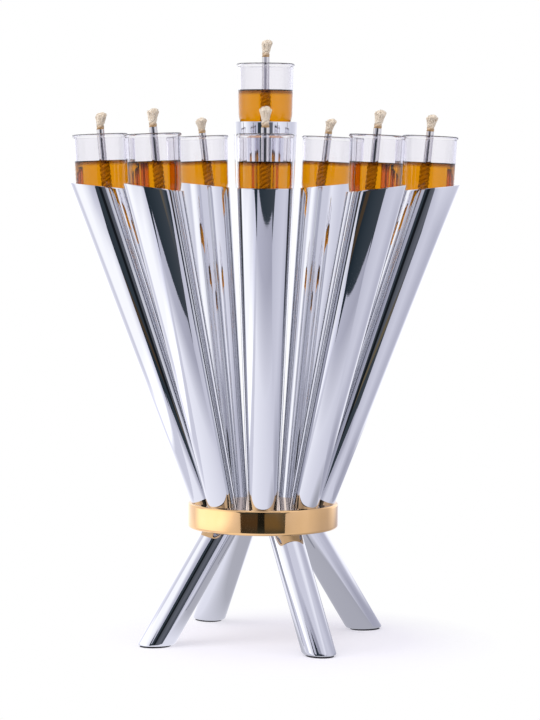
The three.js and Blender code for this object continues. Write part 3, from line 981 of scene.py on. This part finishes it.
UPPER_CLOTH = [(-TENT_HALF_WIDTH, LIGHT), (TENT_HALF_WIDTH, HALF)]
UNDER_TABLE = [(-0.3, DARK_SLATE), (0.0, SLATE), (WARM_REACH, PALE_SLATE)]
WARM_STRIP = [
    (-0.3, WOOD), (-0.078, WOOD), (-0.072, NIGHT), (0.022, NIGHT), (0.028, PALE_WOOD), (0.2, PALE_WOOD),
    (0.34, PALE_SLATE),
]
DARK_ROOM = [
    (-180, SLATE), (-40, DARK_SLATE), (-20, SLATE), (-7.5, SLATE), (-7, NIGHT), (3, NIGHT), (3.5, PALE_SLATE),
    (22, DUST), (45, SLATE), (180, SLATE),
]


def ramp_over(tree, source, stops):
    """A colour that follows a value along (value, hex colour) stops."""
    low, high = stops[0][0], stops[-1][0]
    share = add_node(
        tree, "ShaderNodeMapRange", inputs={"From Min": low, "From Max": high}, links={"Value": source}
    )
    ramp = add_node(tree, "ShaderNodeValToRGB", links={"Fac": share.outputs["Result"]})
    colour_stops(ramp, [((value - low) / (high - low), linear(colour)) for value, colour in stops])
    return ramp.outputs["Color"]


def value_over(tree, source, low, high, first, second):
    """A value that runs from first at low to second at high and stays there."""
    node = add_node(
        tree, "ShaderNodeMapRange",
        inputs={"From Min": low, "From Max": high, "To Min": first, "To Max": second},
        links={"Value": source},
    )
    return node.outputs["Result"]


def mix_over(tree, source, low, high, first, second):
    """The first colour below low, the second above high, and a blend between them."""
    mixed = add_node(
        tree, "ShaderNodeMix", {"data_type": "RGBA"},
        links={"Factor": value_over(tree, source, low, high, 0.0, 1.0), "A": first, "B": second},
    )
    return mixed.outputs["Result"]


def calculate(tree, operation, *values):
    """A Math node over sockets and plain numbers."""
    node = add_node(tree, "ShaderNodeMath", {"operation": operation})
    for place, value in enumerate(values):
        if isinstance(value, (int, float)):
            node.inputs[place].default_value = value
        else:
            tree.links.new(value, node.inputs[place])
    return node.outputs["Value"]


def azimuth_of(tree, across, along):
    """The azimuth of a point or direction in degrees, 0 at the front and growing to the right."""
    turn = calculate(tree, "ARCTAN2", across, calculate(tree, "MULTIPLY", along, -1.0))
    return calculate(tree, "DEGREES", turn)


def mirrored_ray(tree):
    """1 for a ray that a surface has mirrored on its way, and 0 for any other."""
    path = add_node(tree, "ShaderNodeLightPath")
    return calculate(tree, "MINIMUM", path.outputs["Glossy Depth"], 1.0)


# %% Floor


def floor_material():
    """White paper with the feet's shadow for the camera, and the tent's floor with the room beyond for metal."""
    material, tree, output = new_material("white_paper_floor")
    place = add_node(tree, "ShaderNodeTexCoord")
    split = add_node(tree, "ShaderNodeSeparateXYZ", links={"Vector": place.outputs["Object"]})
    across, along = split.outputs["X"], split.outputs["Y"]
    inward = calculate(tree, "SUBTRACT", along, calculate(tree, "MULTIPLY", across, PAPER_TURN))
    paper_colour = mix_over(
        tree, inward, *PAPER_BLEND, ramp_over(tree, across, PAPER_FRONT), ramp_over(tree, across, PAPER_NEAR)
    )
    reach = add_node(
        tree, "ShaderNodeVectorMath", {"operation": "LENGTH"}, links={0: place.outputs["Object"]}
    ).outputs["Value"]
    outside = mix_over(
        tree, reach, WARM_REACH - 0.005, WARM_REACH + 0.005,
        ramp_over(tree, across, UNDER_TABLE), ramp_over(tree, across, WARM_STRIP),
    )
    far_room = ramp_over(tree, azimuth_of(tree, across, along), DARK_ROOM)
    outside = mix_over(tree, reach, FAR_REACH - 0.01, FAR_REACH + 0.01, outside, far_room)
    mirrored = mix_over(tree, inward, PAPER_EDGE - 0.001, PAPER_EDGE + 0.001, outside, paper_colour)
    width = calculate(tree, "ABSOLUTE", across)
    mirrored = mix_over(tree, width, TENT_HALF_WIDTH + 0.004, TENT_HALF_WIDTH + 0.006, mirrored, outside)
    # The floor glows less near that point: the painted shadow of the object that the metal mirrors.
    shaded = add_node(
        tree, "ShaderNodeVectorMath", {"operation": "DISTANCE"},
        inputs={1: PAINTED_SHADE_CENTRE}, links={0: place.outputs["Object"]},
    ).outputs["Value"]
    glow = value_over(tree, shaded, *PAINTED_SHADE_REACH, TENT_GLOW * PAINTED_SHADE_SHARE, TENT_GLOW)
    seen_in_metal = add_node(tree, "ShaderNodeEmission", links={"Color": mirrored, "Strength": glow})
    paper = add_node(tree, "ShaderNodeBsdfDiffuse", inputs={"Color": linear("F4F3F8")})
    seen_paper = add_node(tree, "ShaderNodeBsdfDiffuse", inputs={"Color": linear("BEBDC0")})
    lift = add_node(tree, "ShaderNodeEmission", inputs={"Color": linear("F3F1FB"), "Strength": SHADOW_LIFT})
    lifted = add_node(
        tree, "ShaderNodeAddShader", links={0: seen_paper.outputs["BSDF"], 1: lift.outputs["Emission"]}
    )
    white = add_node(tree, "ShaderNodeEmission", inputs={"Color": grey(1.0), "Strength": 1.0})
    from_feet = add_node(
        tree, "ShaderNodeVectorMath", {"operation": "DISTANCE"},
        inputs={1: FEET_CENTRE}, links={0: place.outputs["Object"]},
    ).outputs["Value"]
    cleared = add_node(
        tree, "ShaderNodeMixShader",
        links={
            "Fac": value_over(tree, from_feet, SHADOW_REACH, WHITE_REACH, 0.0, 1.0),
            1: lifted.outputs["Shader"],
            2: white.outputs["Emission"],
        },
    )
    path = add_node(tree, "ShaderNodeLightPath")
    direct = calculate(
        tree, "MAXIMUM", path.outputs["Is Camera Ray"], path.outputs["Is Transmission Ray"]
    )
    plain = add_node(
        tree, "ShaderNodeMixShader", links={"Fac": direct, 1: paper.outputs["BSDF"], 2: cleared.outputs["Shader"]}
    )
    surface = add_node(
        tree, "ShaderNodeMixShader",
        links={"Fac": mirrored_ray(tree), 1: plain.outputs["Shader"], 2: seen_in_metal.outputs["Emission"]},
    )
    tree.links.new(surface.outputs["Shader"], output.inputs["Surface"])
    return material


def stage_panel(name, corners, material):
    """One flat panel of the studio: a face through its corners."""
    mesh = bmesh.new()
    mesh.faces.new([mesh.verts.new(corner) for corner in corners])
    data = bpy.data.meshes.new(name)
    mesh.to_mesh(data)
    mesh.free()
    panel = bpy.data.objects.new(name, data)
    scene.collection.objects.link(panel)
    data.materials.append(material)


stage_panel("paper_floor", [(-6, -6, 0), (6, -6, 0), (6, 6, 0), (-6, 6, 0)], floor_material())

# %% Tent cloth


def cloth_material(name, axis, levels, low_glow=TENT_GLOW):
    """Cloth that only mirrored rays see: colour ramps along one axis, one above the other by height."""
    material, tree, output = new_material(name)
    place = add_node(tree, "ShaderNodeTexCoord")
    split = add_node(tree, "ShaderNodeSeparateXYZ", links={"Vector": place.outputs["Object"]})
    colour = ramp_over(tree, split.outputs[axis], levels[0][2])
    for low, high, stops in levels[1:]:
        upper = ramp_over(tree, split.outputs[axis], stops)
        colour = mix_over(tree, split.outputs["Z"], low, high, colour, upper)
    # Between the two heights of the band the cloth glows at low_glow: painted light, brighter on the left cloth.
    rise = value_over(tree, split.outputs["Z"], *LEFT_GLOW_BAND[0], TENT_GLOW, low_glow)
    fall = value_over(tree, split.outputs["Z"], *LEFT_GLOW_BAND[1], low_glow, TENT_GLOW)
    glow = calculate(tree, "MINIMUM", rise, fall)
    cloth = add_node(tree, "ShaderNodeEmission", links={"Color": colour, "Strength": glow})
    clear = add_node(tree, "ShaderNodeBsdfTransparent", inputs={"Color": grey(1.0)})
    seen = add_node(
        tree, "ShaderNodeMixShader",
        links={"Fac": mirrored_ray(tree), 1: clear.outputs["BSDF"], 2: cloth.outputs["Emission"]},
    )
    tree.links.new(seen.outputs["Shader"], output.inputs["Surface"])
    return material


def across_panel(along, low, high):
    """The corners of an upright panel across the tent."""
    left, right = -TENT_HALF_WIDTH, TENT_HALF_WIDTH
    return [(left, along, low), (right, along, low), (right, along, high), (left, along, high)]


left_cloth = cloth_material(
    "left_tent_cloth", "Y",
    [
        (0, 0, LEFT_CLOTH_FOOT), (0.035, 0.045, LEFT_CLOTH_DISC), (0.068, 0.085, LEFT_CLOTH_LOW),
        (0.15, 0.19, LEFT_CLOTH_HIGH),
    ],
    LEFT_GLOW,
)
right_cloth = cloth_material(
    "right_tent_cloth", "Y",
    [(0, 0, RIGHT_CLOTH_FOOT), (0.03, 0.055, RIGHT_CLOTH_LOW), (0.185, 0.235, RIGHT_CLOTH_HIGH)],
)
stage_panel("left_cloth", [(-TENT_HALF_WIDTH, y, z) for y, z in WALL_OUTLINE], left_cloth)
stage_panel("right_cloth", [(TENT_HALF_WIDTH, y, z) for y, z in WALL_OUTLINE], right_cloth)
stage_panel(
    "front_cloth", across_panel(FRONT_CLOTH, OPENING_HEIGHT, TENT_HEIGHT),
    cloth_material("front_tent_cloth", "X", [(0, 0, FRONT_CLOTH_LOW), (0.32, 0.35, FRONT_CLOTH_HIGH)]),
)
stage_panel(
    "back_cloth", across_panel(TENT_BACK, 0.0, TENT_HEIGHT),
    cloth_material("back_tent_cloth", "X", [(0, 0, UPPER_CLOTH)]),
)
stage_panel(
    "roof_cloth",
    [
        (-TENT_HALF_WIDTH, FRONT_CLOTH, TENT_HEIGHT), (TENT_HALF_WIDTH, FRONT_CLOTH, TENT_HEIGHT),
        (TENT_HALF_WIDTH, TENT_BACK, TENT_HEIGHT), (-TENT_HALF_WIDTH, TENT_BACK, TENT_HEIGHT),
    ],
    cloth_material("roof_tent_cloth", "X", [(0, 0, UPPER_CLOTH)]),
)

# %% World


def studio_world():
    """White for the camera and glass, the dark room for mirrored rays, and soft light for matt surfaces."""
    world = bpy.data.worlds.new("white_studio")
    world.use_nodes = True
    tree = world.node_tree
    tree.nodes.clear()
    output = add_node(tree, "ShaderNodeOutputWorld")
    place = add_node(tree, "ShaderNodeTexCoord")
    split = add_node(tree, "ShaderNodeSeparateXYZ", links={"Vector": place.outputs["Generated"]})
    room = ramp_over(tree, azimuth_of(tree, split.outputs["X"], split.outputs["Y"]), DARK_ROOM)
    white = add_node(tree, "ShaderNodeBackground", inputs={"Color": grey(1.0), "Strength": 1.0})
    dark = add_node(tree, "ShaderNodeBackground", inputs={"Strength": TENT_GLOW}, links={"Color": room})
    ambient = add_node(
        tree, "ShaderNodeBackground", inputs={"Color": linear("F6F5FA"), "Strength": 0.75}
    )
    path = add_node(tree, "ShaderNodeLightPath")
    seen = add_node(
        tree, "ShaderNodeMixShader",
        links={"Fac": mirrored_ray(tree), 1: white.outputs["Background"], 2: dark.outputs["Background"]},
    )
    mixed = add_node(
        tree, "ShaderNodeMixShader",
        links={
            "Fac": path.outputs["Is Diffuse Ray"],
            1: seen.outputs["Shader"],
            2: ambient.outputs["Background"],
        },
    )
    tree.links.new(mixed.outputs["Shader"], output.inputs["Surface"])
    return world


scene.world = studio_world()

# %% Lamps


def area_lamp(name, place, aim, size, power):
    data = bpy.data.lights.new(name, "AREA")
    data.shape = "RECTANGLE"
    data.size, data.size_y = size
    data.energy = power
    lamp = bpy.data.objects.new(name, data)
    scene.collection.objects.link(lamp)
    lamp.location = place
    lamp.rotation_euler = (Vector(aim) - Vector(place)).to_track_quat("-Z", "Y").to_euler()
    lamp.visible_camera = False
    lamp.visible_glossy = False


area_lamp("top_softbox", (-0.5, -0.4, 1.5), (0, 0, 0.15), (1.2, 1.2), 9.0)
area_lamp("left_softbox", (-1.4, -0.7, 0.6), (0, 0, 0.18), (0.9, 1.2), 7.0)
area_lamp("right_softbox", (1.5, -0.8, 0.7), (0, 0, 0.18), (0.9, 1.2), 4.0)
scene.view_settings.view_transform = "Standard"

# %% [markdown]
# ## Last steps
# The scene is brought up to date one last time.

# %% Update the scene
bpy.context.view_layer.update()
